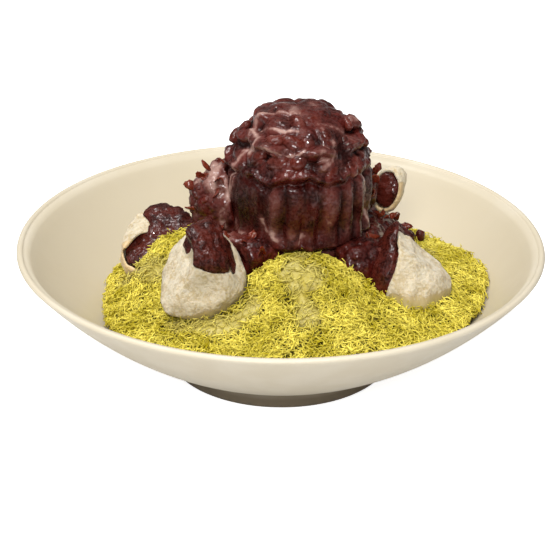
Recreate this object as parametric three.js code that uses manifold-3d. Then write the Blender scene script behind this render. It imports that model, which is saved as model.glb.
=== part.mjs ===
// A footed bowl heaped with green-tea shaved ice, a bed and a moulded scoop of sweet red bean, and four cut
// rice cakes. Millimetres, +Z up, origin at the centre of the foot's underside; the diner sits at -Y.
import * as THREE from "three";
import { mergeVertices } from "three/addons/utils/BufferGeometryUtils.js";
import Module from "manifold-3d";

const wasm = await Module();
wasm.setup();

const gap = 0.3; // clearance left between pieces that touch
const turns = 44; // facets round the bowl and the ice, alike so that their facets line up

const bowl = {
  radius: 120, // outside of the lip
  height: 60,
  footRadius: 51,
  footHeight: 8,
  footWidth: 5,
  footFlare: 0.6, // how much wider the foot is half way up
  wallStart: 1.5, // the wall starts this far outside the foot
  recess: 2.6, // hollow under the foot
  recessSlope: 2,
  lip: 3.2, // thickness of the rounded lip
  floor: 8, // inside floor above the table
  wallBulge: 5, // how far the wall bows out from a straight cone
  insidePower: 2.6, // how steeply the inside climbs towards the lip
};

const ice = {
  edgeRadius: 88,
  edgeLean: new THREE.Vector2(6, -4), // the heap lies fuller to the right and front
  edgeStep: 4, // height of the heap's rounded shoulder at the wall
  edgeRise: 3, // height of the slope's foot above the wall
  edgeWaves: [
    { count: 5, height: 1.1, turn: 1 },
    { count: 11, height: 0.8, turn: 0 },
  ],
  slopePower: 0.85, // below 1 the slope bellies out
  top: 56, // height of the flat middle that carries the bean
  topRadius: 36,
  mounds: [
    { centre: new THREE.Vector2(11, -37), radius: 32, top: 66.5 },
    { centre: new THREE.Vector2(-36, -3), radius: 36, top: 64 },
  ],
  blend: 4, // width over which slope and mounds run into each other
  lump: { height: 0.9, size: 10 },
};

const scoop = {
  centre: new THREE.Vector3(8, 3, 64), // middle of its underside
  radius: 32.5,
  height: 59.5,
  widest: 0.4, // share of the height where it is widest
  tuck: 0.6, // below 1 the underside is fuller than a ball's
  crown: 0.8, // below 1 the crown is fuller than a ball's
  flutes: 16,
  fluteDepth: 1.1,
  ledge: 37, // height above the underside where the flutes stop
  ledgeWidth: 6,
  lump: { height: 1.6, size: 7 }, // above the ledge
};

// The bed of red bean is pressed together from spoonfuls, each with its centre, half sizes and flat
// underside.
const spoonfuls = [
  { centre: [4, 12, 52], half: [49, 39, 20], floor: 50 }, // under the scoop
  { centre: [-23, 9, 74], half: [19.5, 18, 20], floor: 58 }, // left shoulder
  { centre: [29, 13, 79], half: [15, 15, 18], floor: 60 }, // right shoulder
  { centre: [-15, -19, 62], half: [15, 14, 9], floor: 54 }, // run towards the front rice cake
  { centre: [35, -18, 56], half: [12, 14, 13], floor: 46 }, // run towards the right rice cake
  { centre: [45, 28, 52], half: [20, 19, 10], floor: 46 }, // seat of the back rice cake
];
const spoonfulLump = { height: 1.6, size: 8 };

// Each rice cake is a cut half. `facing` is where the cut looks and `along` its long way. `half` holds its
// half sizes along and across and its depth, and `mouth` is the cut's share of its widest. A pinch pulls
// the dough out towards a direction, by its length in millimetres.
const riceCakes = [
  {
    name: "left",
    cut: [-55.5, 8, 55.5],
    facing: [-0.12, -0.5, 0.86],
    along: [0.75, 0.47, 0.46],
    half: [20, 17, 17],
    mouth: 0.96,
    bulge: 3,
    pinches: [
      { to: [-0.5, 0.3, 0.8], by: 4, width: 5 },
      { to: [-0.55, -0.6, -0.5], by: 3, width: 4 },
    ],
  },
  {
    name: "front",
    cut: [-31, -45, 72],
    facing: [0.2, -0.5, 0.84],
    along: [1, -0.2, 0],
    half: [21, 18.5, 33],
    mouth: 0.7,
    bulge: 7,
    pinches: [
      { to: [-0.6, -0.15, 0.8], by: 4, width: 4 },
      { to: [0.62, 0.35, 0.7], by: 4, width: 5 },
      { to: [-0.1, -0.8, -0.6], by: 5, width: 3 },
    ],
  },
  {
    name: "right",
    cut: [47.5, -22, 56],
    facing: [-0.92, -0.08, 0.38],
    along: [0.38, 0.06, 0.92],
    half: [18, 16, 28],
    mouth: 0.92,
    bulge: 5,
    pinches: [
      { to: [0, 0.25, 0.97], by: 4, width: 6 },
      { to: [0.2, -0.9, -0.4], by: 7, width: 4 },
      { to: [0.9, -0.1, -0.4], by: 4, width: 5 },
    ],
  },
  {
    name: "back",
    cut: [48.5, 24, 74],
    facing: [-0.45, -0.85, 0.2],
    along: [0.12, 0.05, 1],
    half: [12, 7.8, 11],
    mouth: 0.95,
    bulge: 2,
    pinches: [{ to: [0.7, 0.3, 0.6], by: 2, width: 4 }],
  },
];
const skinThickness = 2;
const fillingGap = 3 * gap; // the skin leans in over the filling, so it keeps more clearance
const kneading = { height: 0.7, size: 9 };
const cakeTurns = 16;

const looks = {
  porcelain: { color: 0xe6dcc6, roughness: 0.22, metalness: 0 },
  ice: { color: 0xb9b04a, roughness: 0.6, metalness: 0 },
  bean: { color: 0x4a1d18, roughness: 0.3, metalness: 0 },
  riceSkin: { color: 0xddd2bb, roughness: 0.85, metalness: 0 },
  filling: { color: 0x3a1511, roughness: 0.45, metalness: 0 },
};
const finishes = Object.fromEntries(
  Object.entries(looks).map(([name, look]) => [name, new THREE.MeshStandardMaterial(look)]),
);

// Rolling unevenness between -1 and 1, with bumps about `size` across.
function rolling(p, size, seed) {
  const k = 2.2 / size;
  const a = Math.sin(k * p.x + seed + 0.8 * Math.sin(k * p.y));
  const b = Math.sin(k * p.y + 1.7 * seed + 0.8 * Math.sin(k * p.z));
  const c = Math.sin(k * p.z + 2.3 * seed + 0.8 * Math.sin(k * p.x));
  return (a + b + c) / 3;
}

const smoothMax = (a, b, width) => {
  const share = THREE.MathUtils.clamp(0.5 + (b - a) / (2 * width), 0, 1);
  return THREE.MathUtils.lerp(a, b, share) + width * share * (1 - share);
};

const smoothMin = (a, b, width) => -smoothMax(-a, -b, width);

const arc = (from, to, steps, at) =>
  Array.from({ length: steps + 1 }, (_, i) => at(THREE.MathUtils.lerp(from, to, i / steps)));

// A body turned about +Z from a profile of (radius, height) points, from its underside round to its top.
function turned(profile, segments) {
  const geometry = new THREE.LatheGeometry(profile, segments);
  geometry.rotateX(Math.PI / 2);
  return bare(geometry);
}

// Only positions, with shared vertices merged and the flat triangles at the axis dropped.
function bare(geometry) {
  geometry.deleteAttribute("normal");
  geometry.deleteAttribute("uv");
  const merged = mergeVertices(geometry, 1e-4);
  const index = merged.index.array;
  const kept = [];
  for (let i = 0; i < index.length; i += 3) {
    const [a, b, c] = index.slice(i, i + 3);
    if (a !== b && b !== c && c !== a) kept.push(a, b, c);
  }
  return merged.setIndex(kept);
}

function moveVertices(geometry, move) {
  const position = geometry.attributes.position;
  const p = new THREE.Vector3();
  for (let i = 0; i < position.count; i++) {
    p.fromBufferAttribute(position, i);
    move(p);
    position.setXYZ(i, p.x, p.y, p.z);
  }
  return geometry;
}

// The same body with its surface moved outwards, to cut a seat with clearance in what it rests on.
function grown(geometry, by) {
  const wide = geometry.clone();
  wide.computeVertexNormals();
  const { position, normal } = wide.attributes;
  for (let i = 0; i < position.count; i++) {
    position.setXYZ(
      i,
      position.getX(i) + by * normal.getX(i),
      position.getY(i) + by * normal.getY(i),
      position.getZ(i) + by * normal.getZ(i),
    );
  }
  wide.deleteAttribute("normal");
  return wide;
}

const solidOf = (geometry, matrix = new THREE.Matrix4()) => {
  const placed = geometry.clone().applyMatrix4(matrix);
  return new wasm.Manifold(
    new wasm.Mesh({
      numProp: 3,
      vertProperties: new Float32Array(placed.attributes.position.array),
      triVerts: new Uint32Array(placed.index.array),
    }),
  );
};

// The largest body that is left of a solid after its cuts, as a geometry.
function geometryOf(solid) {
  const bodies = solid.decompose().sort((a, b) => b.volume() - a.volume());
  const mesh = bodies[0].getMesh();
  const geometry = new THREE.BufferGeometry();
  geometry.setAttribute("position", new THREE.BufferAttribute(mesh.vertProperties, 3));
  geometry.setIndex(new THREE.BufferAttribute(mesh.triVerts, 1));
  return geometry;
}

// Bowl

const insideRadius = bowl.radius - bowl.lip;
const lipBlend = 1; // the inside starts this far in from the lip
const insideHeight = (r) =>
  bowl.floor + (bowl.height - bowl.floor) * (r / insideRadius) ** bowl.insidePower;

function bowlProfile() {
  const { radius, height, footRadius, footHeight, footWidth, footFlare } = bowl;
  const { wallStart, recess, recessSlope } = bowl;
  const round = bowl.lip / 2;
  const wallFoot = new THREE.Vector2(footRadius + wallStart, footHeight);
  const wallTop = new THREE.Vector2(radius, height - round);
  const outward = wallTop.clone().sub(wallFoot).normalize();
  const middle = wallFoot.clone().add(wallTop).multiplyScalar(0.5);
  const bow = new THREE.Vector2(outward.y, -outward.x).multiplyScalar(2 * bowl.wallBulge);
  const wall = new THREE.QuadraticBezierCurve(wallFoot, middle.add(bow), wallTop).getPoints(6);
  const edge = arc(0, Math.PI, 3, (t) =>
    new THREE.Vector2(radius - round + round * Math.cos(t), height - round + round * Math.sin(t)),
  );
  const inside = arc(insideRadius - lipBlend, 0, 9, (r) => new THREE.Vector2(r, insideHeight(r)));
  return [
    new THREE.Vector2(0, recess),
    new THREE.Vector2(footRadius - footWidth - recessSlope, recess),
    new THREE.Vector2(footRadius - footWidth, 0),
    new THREE.Vector2(footRadius, 0),
    new THREE.Vector2(footRadius + footFlare, footHeight / 2),
    ...wall.slice(0, -1),
    ...edge.slice(0, -1),
    ...inside,
  ];
}

// Shaved ice

function iceTop(x, y) {
  const { top, topRadius, slopePower, mounds, edgeRise, blend, lump } = ice;
  const edge = iceEdge(Math.atan2(y, x));
  const foot = insideHeight(edge) + edgeRise;
  const inward = (edge - Math.hypot(x, y)) / (edge - topRadius);
  const slope = foot + (top - foot) * Math.max(0, inward) ** slopePower;
  const domes = mounds.map((mound) => {
    const away = Math.hypot(x - mound.centre.x, y - mound.centre.y);
    return mound.top - mound.radius + Math.sqrt(Math.max(0, mound.radius ** 2 - away ** 2));
  });
  const heaped = domes.reduce((height, dome) => smoothMax(height, dome, blend), smoothMin(slope, top, blend));
  return heaped + lump.height * rolling(new THREE.Vector3(x, y, 0), lump.size, 2.1);
}

function iceEdge(angle) {
  const { edgeRadius, edgeLean, edgeWaves } = ice;
  const lean = edgeLean.x * Math.cos(angle) + edgeLean.y * Math.sin(angle);
  const wave = ({ count, height, turn }) => height * Math.sin(count * angle + turn);
  return edgeWaves.reduce((radius, one) => radius + wave(one), edgeRadius + lean);
}

// The profile's radius is a share of the heap's edge. Its height says what the point belongs to: 0 is
// the underside, 1 the top, and between them is the rounded shoulder.
function iceGeometry() {
  const under = arc(0, 0.985, 5, (r) => new THREE.Vector2(r, 0));
  const shoulder = [new THREE.Vector2(1, 0.35), new THREE.Vector2(0.985, 0.75)];
  const top = arc(0.965, 0, 10, (r) => new THREE.Vector2(r, 1));
  const geometry = turned([...under, ...shoulder, ...top], turns);
  return moveVertices(geometry, (p) => {
    const share = p.z;
    const edge = iceEdge(Math.atan2(p.y, p.x));
    p.x *= edge;
    p.y *= edge;
    const bottom = insideHeight(Math.hypot(p.x, p.y)) + 1.5 * gap;
    const surface = share === 1 ? iceTop(p.x, p.y) : bottom + (ice.edgeStep + ice.edgeRise) * share;
    p.z = share === 0 ? bottom : surface;
  });
}

// Sweet red bean

function spoonfulSolid({ centre, half, floor }, clearance) {
  const geometry = bare(new THREE.SphereGeometry(1, 16, 10).rotateX(Math.PI / 2));
  moveVertices(geometry, (p) => {
    const outward = p.clone();
    p.set(
      centre[0] + outward.x * half[0],
      centre[1] + outward.y * half[1],
      centre[2] + outward.z * half[2],
    );
    p.addScaledVector(outward, spoonfulLump.height * rolling(p, spoonfulLump.size, 1.3));
    p.z = Math.max(p.z, floor);
  });
  return solidOf(grown(geometry, clearance));
}

const bedSolid = (clearance) =>
  spoonfuls.map((one) => spoonfulSolid(one, clearance)).reduce((all, one) => all.add(one));

// A barrel with a rounder crown, from the underside's middle up, with flutes below the ledge.
function scoopGeometry() {
  const { centre, radius, height, widest, tuck, crown, flutes, fluteDepth, ledge, ledgeWidth, lump } = scoop;
  const waist = widest * height;
  const lowest = -0.62 * (Math.PI / 2);
  const flank = arc(lowest, 0.97 * (Math.PI / 2), 13, (angle) => {
    const below = angle < 0;
    const reach = below ? waist / Math.sin(-lowest) : height - waist;
    const wide = radius * Math.cos(angle) ** (below ? tuck : crown);
    return new THREE.Vector2(wide, waist + reach * Math.sin(angle));
  });
  const profile = [new THREE.Vector2(0, 0), ...flank, new THREE.Vector2(0, height)];
  return moveVertices(turned(profile, 3 * flutes), (p) => {
    const around = Math.atan2(p.y, p.x);
    const outward = new THREE.Vector3(p.x, p.y, 0.6 * Math.max(0, p.z - waist)).normalize();
    const above = THREE.MathUtils.smoothstep(p.z, ledge - ledgeWidth / 2, ledge + ledgeWidth / 2);
    const wide = Math.min(1, Math.hypot(p.x, p.y) / radius);
    const flute = fluteDepth * Math.cos(flutes * around) * wide;
    const bump = lump.height * rolling(p, lump.size, 5.2);
    p.addScaledVector(outward, THREE.MathUtils.lerp(flute, bump, above));
    p.add(centre);
  });
}

// Cut rice cakes

const meanRadius = ({ half }) => (half[0] + half[1]) / 2;

// The cut's plane, with its long way along Y and its outward side along +Z.
function cakeFrame({ cut, facing, along }) {
  const z = new THREE.Vector3(...facing).normalize();
  const y = new THREE.Vector3(...along);
  y.addScaledVector(z, -y.dot(z)).normalize();
  const x = y.clone().cross(z);
  return new THREE.Matrix4().makeBasis(x, y, z).setPosition(...cut);
}

// Pinches and small unevenness, in the cake's own frame. Skin and filling are moved alike.
function kneaded(cake, geometry) {
  const { half, pinches } = cake;
  const turn = new THREE.Quaternion().setFromRotationMatrix(cakeFrame(cake)).invert();
  const pulls = pinches.map(({ to, by, width }) => ({
    to: new THREE.Vector3(...to).normalize().applyQuaternion(turn),
    by,
    width,
  }));
  const middle = new THREE.Vector3(0, 0, -0.35 * half[2]);
  const round = meanRadius(cake);
  return moveVertices(geometry, (p) => {
    p.x *= half[1] / round;
    p.y *= half[0] / round;
    const out = p.clone().sub(middle);
    const reach = Math.min(1, out.length() / round);
    const way = out.clone().normalize();
    for (const { to, by, width } of pulls) {
      p.addScaledVector(to, by * reach ** 2 * Math.max(0, way.dot(to)) ** width);
    }
    p.addScaledVector(way, kneading.height * reach * rolling(p, kneading.size, cake.cut[0]));
  });
}

// Half outline of a ball cut above its widest, from the middle of its underside up to the cut.
function cupWall(radius, depth, mouth) {
  const end = Math.PI - Math.asin(mouth);
  const tall = depth / (1 - Math.cos(end));
  return arc(0, end, 5, (t) =>
    new THREE.Vector2(radius * Math.sin(t), -tall * (Math.cos(t) - Math.cos(end))),
  );
}

// The same outline closed over the cut by a low crown that starts at a small step.
function cupBody(cake, inset) {
  const { half, mouth, bulge } = cake;
  const radius = meanRadius(cake) - inset;
  const wall = cupWall(radius, half[2] - inset, mouth);
  const step = 0.4;
  const crown = arc(0, Math.PI / 2, 3, (t) =>
    new THREE.Vector2(radius * mouth * Math.cos(t), step + (bulge - step) * Math.sin(t)),
  );
  return [...wall, ...crown];
}

function skinGeometry(cake) {
  const radius = meanRadius(cake);
  const depth = cake.half[2];
  const outer = cupWall(radius, depth, cake.mouth);
  const inner = cupWall(radius - skinThickness, depth - skinThickness, cake.mouth).reverse();
  const rim = new THREE.Vector2(radius * cake.mouth - skinThickness / 2, skinThickness / 3);
  return kneaded(cake, turned([...outer, rim, ...inner], cakeTurns));
}

const fillingGeometry = (cake) =>
  kneaded(cake, turned(cupBody(cake, skinThickness + fillingGap), cakeTurns));

// Skin and filling as one grown body, which makes the cake's seat in the ice and the bean.
const cakeSeat = (cake) =>
  solidOf(grown(kneaded(cake, turned(cupBody(cake, 0), cakeTurns)), 2 * gap), cakeFrame(cake));

// Assembly

const bingsu = new THREE.Group();
function place(name, geometry, finish, matrix = new THREE.Matrix4()) {
  const mesh = new THREE.Mesh(geometry, finishes[finish]);
  mesh.name = name;
  mesh.applyMatrix4(matrix);
  bingsu.add(mesh);
}

const scoopSeat = solidOf(grown(scoopGeometry(), gap));
const seats = riceCakes.map(cakeSeat).reduce((all, one) => all.add(one), scoopSeat);

place("bowl", turned(bowlProfile(), turns), "porcelain");
place("ice_heap", geometryOf(solidOf(iceGeometry()).subtract(bedSolid(gap)).subtract(seats)), "ice");
place("bean_bed", geometryOf(bedSolid(0).subtract(seats)), "bean");
place("bean_scoop", scoopGeometry(), "bean");
for (const cake of riceCakes) {
  place(`rice_cake_${cake.name}_skin`, skinGeometry(cake), "riceSkin", cakeFrame(cake));
  place(`rice_cake_${cake.name}_filling`, fillingGeometry(cake), "filling", cakeFrame(cake));
}

export default bingsu;
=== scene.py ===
import math

import bmesh
import bpy
import numpy as np
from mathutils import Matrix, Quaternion, Vector
from mathutils.bvhtree import BVHTree


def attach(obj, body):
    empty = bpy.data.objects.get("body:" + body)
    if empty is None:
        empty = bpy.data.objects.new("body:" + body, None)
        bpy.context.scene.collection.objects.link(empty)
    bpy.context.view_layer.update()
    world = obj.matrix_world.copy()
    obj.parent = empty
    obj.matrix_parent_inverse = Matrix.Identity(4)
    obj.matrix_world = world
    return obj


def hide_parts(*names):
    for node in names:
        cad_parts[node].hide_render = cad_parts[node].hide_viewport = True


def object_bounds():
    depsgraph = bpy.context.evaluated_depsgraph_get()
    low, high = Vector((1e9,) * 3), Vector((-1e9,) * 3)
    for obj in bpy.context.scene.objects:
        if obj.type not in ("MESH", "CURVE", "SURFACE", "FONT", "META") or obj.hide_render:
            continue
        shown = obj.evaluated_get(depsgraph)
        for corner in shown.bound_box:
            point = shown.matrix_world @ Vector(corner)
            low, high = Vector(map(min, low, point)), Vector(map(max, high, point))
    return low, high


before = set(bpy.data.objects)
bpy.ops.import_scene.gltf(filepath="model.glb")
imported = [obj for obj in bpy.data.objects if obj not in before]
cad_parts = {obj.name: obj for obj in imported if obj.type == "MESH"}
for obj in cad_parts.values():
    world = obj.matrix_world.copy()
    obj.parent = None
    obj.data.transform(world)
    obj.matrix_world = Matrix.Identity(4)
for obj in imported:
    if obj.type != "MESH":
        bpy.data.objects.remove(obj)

# Bingsu in its bowl: green-tea shaved ice, sweet red bean and four cut rice cakes.
# Shapes are worked out in millimetres and written to the meshes in metres. The diner sits at -Y.
cadLow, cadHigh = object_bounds()
mm = 0.001
ceiling = cadHigh.z / mm - 0.3  # nothing is made higher than this


def cellValue(cell, seed):
    cell = cell.astype(np.int64)
    mixed = (cell[..., 0] * 73856093) ^ (cell[..., 1] * 19349663) ^ (cell[..., 2] * 83492791)
    mixed = mixed ^ (seed * 265443576)
    mixed = (mixed ^ (mixed >> 13)) * 1274126177
    return ((mixed ^ (mixed >> 16)) & 0xFFFFF) / 0xFFFFF


# Rolling noise between -1 and 1, with bumps about `size` across.
def rolling(points, size, seed=0):
    scaled = points / size + 0.37 * seed
    cell = np.floor(scaled)
    part = scaled - cell
    ease = part ** 3 * (part * (part * 6 - 15) + 10)
    total = np.zeros(len(points))
    for corner in np.ndindex(2, 2, 2):
        weight = np.prod(np.where(np.array(corner), ease, 1 - ease), axis=1)
        total += weight * cellValue(cell + np.array(corner), seed)
    return 2 * total - 1


def layered(points, size, seed=0, layers=3):
    return sum(rolling(points, size / 2 ** i, seed + i) / 2 ** i for i in range(layers)) / 1.6


# Distance to the nearest and the next of scattered centres about `size` apart, in sizes.
def pebbles(points, size, seed=0):
    scaled = points / size
    cell = np.floor(scaled)
    near = np.full(len(points), 9.0)
    following = near.copy()
    for step in np.ndindex(3, 3, 3):
        home = cell + np.array(step) - 1
        centre = home + np.stack([cellValue(home, seed + i) for i in range(3)], axis=1)
        away = np.linalg.norm(scaled - centre, axis=1)
        following = np.where(away < near, near, np.minimum(following, away))
        near = np.minimum(near, away)
    return near, following


# Domes on the pebbles' centres, `wide` of a pebble in radius.
def domes(near, wide, sunk):
    return np.sqrt(np.clip(1 - (near / wide) ** 2, 0, 1)) - sunk


def smooth(low, high, value):
    share = np.clip((value - low) / (high - low), 0, 1)
    return share * share * (3 - 2 * share)


def unit(vectors):
    return vectors / np.maximum(np.linalg.norm(vectors, axis=-1, keepdims=True), 1e-9)


# Distance from every point to a line of points.
def fromLine(points, line):
    line = np.asarray(line, float)
    away = np.full(len(points), 1e9)
    for a, b in zip(line[:-1], line[1:]):
        run = b - a
        share = np.clip((points - a) @ run / max(run @ run, 1e-9), 0, 1)
        away = np.minimum(away, np.linalg.norm(points - a - share[:, None] * run, axis=1))
    return away


def readVectors(mesh, kind):
    values = np.empty(len(mesh.vertices) * 3, np.float32)
    mesh.vertices.foreach_get(kind, values)
    return values.reshape(-1, 3).astype(float)


def pointsOf(mesh):
    return readVectors(mesh, "co") / mm


def normalsOf(mesh):
    return readVectors(mesh, "normal")


def movePoints(mesh, points):
    mesh.vertices.foreach_set("co", (points * mm).astype(np.float32).ravel())
    mesh.update()


def paint(mesh, name, values):
    layer = mesh.attributes.new(name, "FLOAT", "POINT")
    layer.data.foreach_set("value", np.asarray(values, np.float32))


def meshOf(name, points, faces):
    mesh = bpy.data.meshes.new(name)
    mesh.vertices.add(len(points))
    mesh.vertices.foreach_set("co", (np.asarray(points) * mm).astype(np.float32).ravel())
    mesh.loops.add(faces.size)
    mesh.loops.foreach_set("vertex_index", faces.astype(np.int32).ravel())
    mesh.polygons.add(len(faces))
    starts = np.arange(len(faces), dtype=np.int32) * faces.shape[1]
    mesh.polygons.foreach_set("loop_start", starts)
    mesh.update(calc_edges=True)
    return mesh


def inScene(name, data):
    made = bpy.data.objects.new(name, data)
    bpy.context.scene.collection.objects.link(made)
    return made


def addPiece(name, mesh, material, slot, *nodes):
    mesh.name = name
    mesh.materials.clear()
    mesh.materials.append(material)
    mesh.shade_smooth()
    piece = inScene(name, mesh)
    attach(piece, "root")
    if nodes:
        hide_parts(*nodes)
    return piece


# A copy of a solid with small even faces and its facets rounded off, with anything joined to it.
def fineCopy(node, voxel, rounding, joined=None):
    holder = inScene("fineCopy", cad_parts[node].data.copy())
    if joined is not None:
        other = inScene("joined", joined)
        with bpy.context.temp_override(active_object=holder, selected_editable_objects=[holder, other]):
            bpy.ops.object.join()
    remesh = holder.modifiers.new("remesh", "REMESH")
    remesh.mode = "VOXEL"
    remesh.voxel_size = voxel * mm
    rounded = holder.modifiers.new("rounded", "SMOOTH")
    rounded.iterations = rounding
    mesh = bpy.data.meshes.new_from_object(holder.evaluated_get(bpy.context.evaluated_depsgraph_get()))
    bpy.data.objects.remove(holder)
    return mesh


# Joined copies of one small mesh: its faces, for `count` copies of `size` points each.
def repeatedFaces(faces, count, size):
    return (faces[None] + (np.arange(count) * size)[:, None, None]).reshape(-1, faces.shape[1])


# Top, underside and border of a thin sheet of rows by columns, its upper points listed first.
def sheetFaces(rows, columns):
    i, j = np.meshgrid(np.arange(rows - 1), np.arange(columns - 1), indexing="ij")
    a = (i * columns + j).ravel()
    upper = np.stack([a, a + 1, a + columns + 1, a + columns], axis=1)
    border = np.array(list(range(columns)) + [k * columns + columns - 1 for k in range(1, rows)]
                      + [(rows - 1) * columns + k for k in range(columns - 2, -1, -1)]
                      + [k * columns for k in range(rows - 2, 0, -1)])
    return upper, upper[:, [0, 3, 2, 1]] + rows * columns, border


def treeOf(*nodes):
    points, faces = [], []
    for node in nodes:
        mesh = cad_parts[node].data
        faces += [tuple(i + len(points) for i in face.vertices) for face in mesh.polygons]
        points += [vertex.co / mm for vertex in mesh.vertices]
    return BVHTree.FromPolygons(points, faces)


def gapTo(tree, points, reach):
    found = (tree.find_nearest(Vector(p), reach)[3] for p in points)
    return np.array([reach if away is None else away for away in found])


def snap(tree, points):
    return np.array([tree.find_nearest(Vector(p))[0][:] for p in points])


# Each input of a node gets a link from a socket, or a plain value.
def feed(tree, made, inputs):
    for name, value in inputs.items():
        if isinstance(value, bpy.types.NodeSocket):
            tree.links.new(value, made.inputs[name])
        else:
            made.inputs[name].default_value = value


def node(tree, kind, inputs, **settings):
    made = tree.nodes.new(kind)
    for name, value in settings.items():
        setattr(made, name, value)
    feed(tree, made, inputs)
    return made


def maths(tree, operation, a, b, clamp=False):
    return node(tree, "ShaderNodeMath", {0: a, 1: b}, operation=operation, use_clamp=clamp).outputs[0]


def times(tree, a, b):
    return maths(tree, "MULTIPLY", a, b)


def plus(tree, a, b):
    return maths(tree, "ADD", a, b)


def minus(tree, a, b):
    return maths(tree, "SUBTRACT", a, b)


# Factor, A and B of a Mix node set to colours are its inputs 0, 6 and 7, and its result is output 2.
def mixed(tree, factor, a, b):
    return node(tree, "ShaderNodeMix", {0: factor, 6: a, 7: b}, data_type="RGBA").outputs[2]


def spread(tree, value, fromLow, fromHigh, toLow=0.0, toHigh=1.0):
    ends = {"Value": value, "From Min": fromLow, "From Max": fromHigh, "To Min": toLow, "To Max": toHigh}
    return node(tree, "ShaderNodeMapRange", ends, interpolation_type="SMOOTHSTEP").outputs[0]


# Noise with features about `size` millimetres across.
def noise(tree, size, detail, distortion=0.0):
    place = node(tree, "ShaderNodeTexCoord", {}).outputs["Object"]
    return node(tree, "ShaderNodeTexNoise", {"Vector": place, "Scale": maths(tree, "DIVIDE", 1000.0, size),
                                             "Detail": detail, "Distortion": distortion}).outputs[0]


def colour(red, green, blue):
    def linear(value):
        value /= 255
        return value / 12.92 if value <= 0.04045 else ((value + 0.055) / 1.055) ** 2.4
    return linear(red), linear(green), linear(blue), 1.0


def newGroup(name, inputs, outputs):
    tree = bpy.data.node_groups.new(name, "ShaderNodeTree")
    for label, value in inputs.items():
        kind = "NodeSocketColor" if isinstance(value, tuple) else "NodeSocketFloat"
        tree.interface.new_socket(label, in_out="INPUT", socket_type=kind).default_value = value
    for label, kind in outputs.items():
        tree.interface.new_socket(label, in_out="OUTPUT", socket_type=kind)
    return tree, tree.nodes.new("NodeGroupInput").outputs, tree.nodes.new("NodeGroupOutput")


def placed(tree, group, inputs):
    return node(tree, "ShaderNodeGroup", inputs, node_tree=group).outputs


def newMaterial(name, **plain):
    material = bpy.data.materials.new(name)
    material.use_nodes = True
    tree = material.node_tree
    shader = tree.nodes["Principled BSDF"]
    for label, value in plain.items():
        shader.inputs[label.replace("_", " ")].default_value = value
    return material, tree, shader


def bumped(tree, shader, height, strength, distance):
    bump = node(tree, "ShaderNodeBump", {"Height": height, "Strength": strength, "Distance": distance * mm})
    feed(tree, shader, {"Normal": bump.outputs[0]})


def attribute(tree, name):
    return node(tree, "ShaderNodeAttribute", {}, attribute_name=name).outputs["Fac"]


# Fine grain and broad patches at sizes given in millimetres.
def makeGrainGroup():
    tree, given, result = newGroup("grain", {"Fine Size": 1.0, "Patch Size": 8.0},
                                   {"Grain": "NodeSocketFloat", "Patches": "NodeSocketFloat"})
    feed(tree, result, {"Grain": spread(tree, noise(tree, given["Fine Size"], 4.0), 0.3, 0.7),
                        "Patches": spread(tree, noise(tree, given["Patch Size"], 3.0), 0.35, 0.65)})
    return tree


# Condensed milk that thins out in uneven streaks: how much of it covers, and how thick it lies.
def makeMilkGroup():
    tree, given, result = newGroup("milk", {"Amount": 0.0, "Streak Size": 1.6},
                                   {"Cover": "NodeSocketFloat", "Thick": "NodeSocketFloat"})
    streak = noise(tree, given["Streak Size"], 5.0, 0.6)
    thinned = minus(tree, given["Amount"], times(tree, streak, 0.45))
    feed(tree, result, {"Cover": spread(tree, thinned, -0.15, 0.7),
                        "Thick": spread(tree, thinned, 0.3, 0.85)})
    return tree


# Boiled bean: skins and mash between two colours, uneven gloss, and a grainy height.
def makeBeanGroup(grain):
    tree, given, result = newGroup(
        "boiled bean", {"Dark": (0.02, 0.005, 0.004, 1), "Light": (0.1, 0.03, 0.02, 1), "Mash Size": 1.2,
                        "Patch Size": 7.0, "Wet Roughness": 0.2, "Dry Roughness": 0.5},
        {"Color": "NodeSocketColor", "Roughness": "NodeSocketFloat", "Height": "NodeSocketFloat"})
    field = placed(tree, grain, {"Fine Size": given["Mash Size"], "Patch Size": given["Patch Size"]})
    share = plus(tree, times(tree, field["Grain"], 0.45), times(tree, field["Patches"], 0.55))
    dry = minus(tree, given["Dry Roughness"], given["Wet Roughness"])
    feed(tree, result, {"Color": mixed(tree, share, given["Dark"], given["Light"]), "Height": field["Grain"],
                        "Roughness": plus(tree, given["Wet Roughness"], times(tree, field["Grain"], dry))})
    return tree


# Starch dusted on dough in soft clumps, thinner where the dough is bare.
def makeDustGroup(grain):
    tree, given, result = newGroup("starch dust", {"Bare": 0.0, "Clump Size": 1.5},
                                   {"Dust": "NodeSocketFloat", "Height": "NodeSocketFloat"})
    field = placed(tree, grain, {"Fine Size": given["Clump Size"], "Patch Size": 5.0})
    loose = plus(tree, times(tree, field["Grain"], 0.5), times(tree, field["Patches"], 0.4))
    kept = minus(tree, plus(tree, loose, 0.16), times(tree, given["Bare"], 1.4))
    feed(tree, result, {"Dust": spread(tree, kept, 0.1, 0.9),
                        "Height": times(tree, field["Grain"], spread(tree, kept, 0.1, 0.6))})
    return tree


grainGroup = makeGrainGroup()
milkGroup = makeMilkGroup()
beanGroup = makeBeanGroup(grainGroup)
dustGroup = makeDustGroup(grainGroup)
print("shader groups ready")


camera = {"distance": 850, "elevation": 24.048, "aim": (-0.17, 0, 38.92), "pivotHeight": 60,
          "roll": 0.552, "lens": 119.62, "sensor": 36, "clip": (0.01, 100)}


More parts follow.
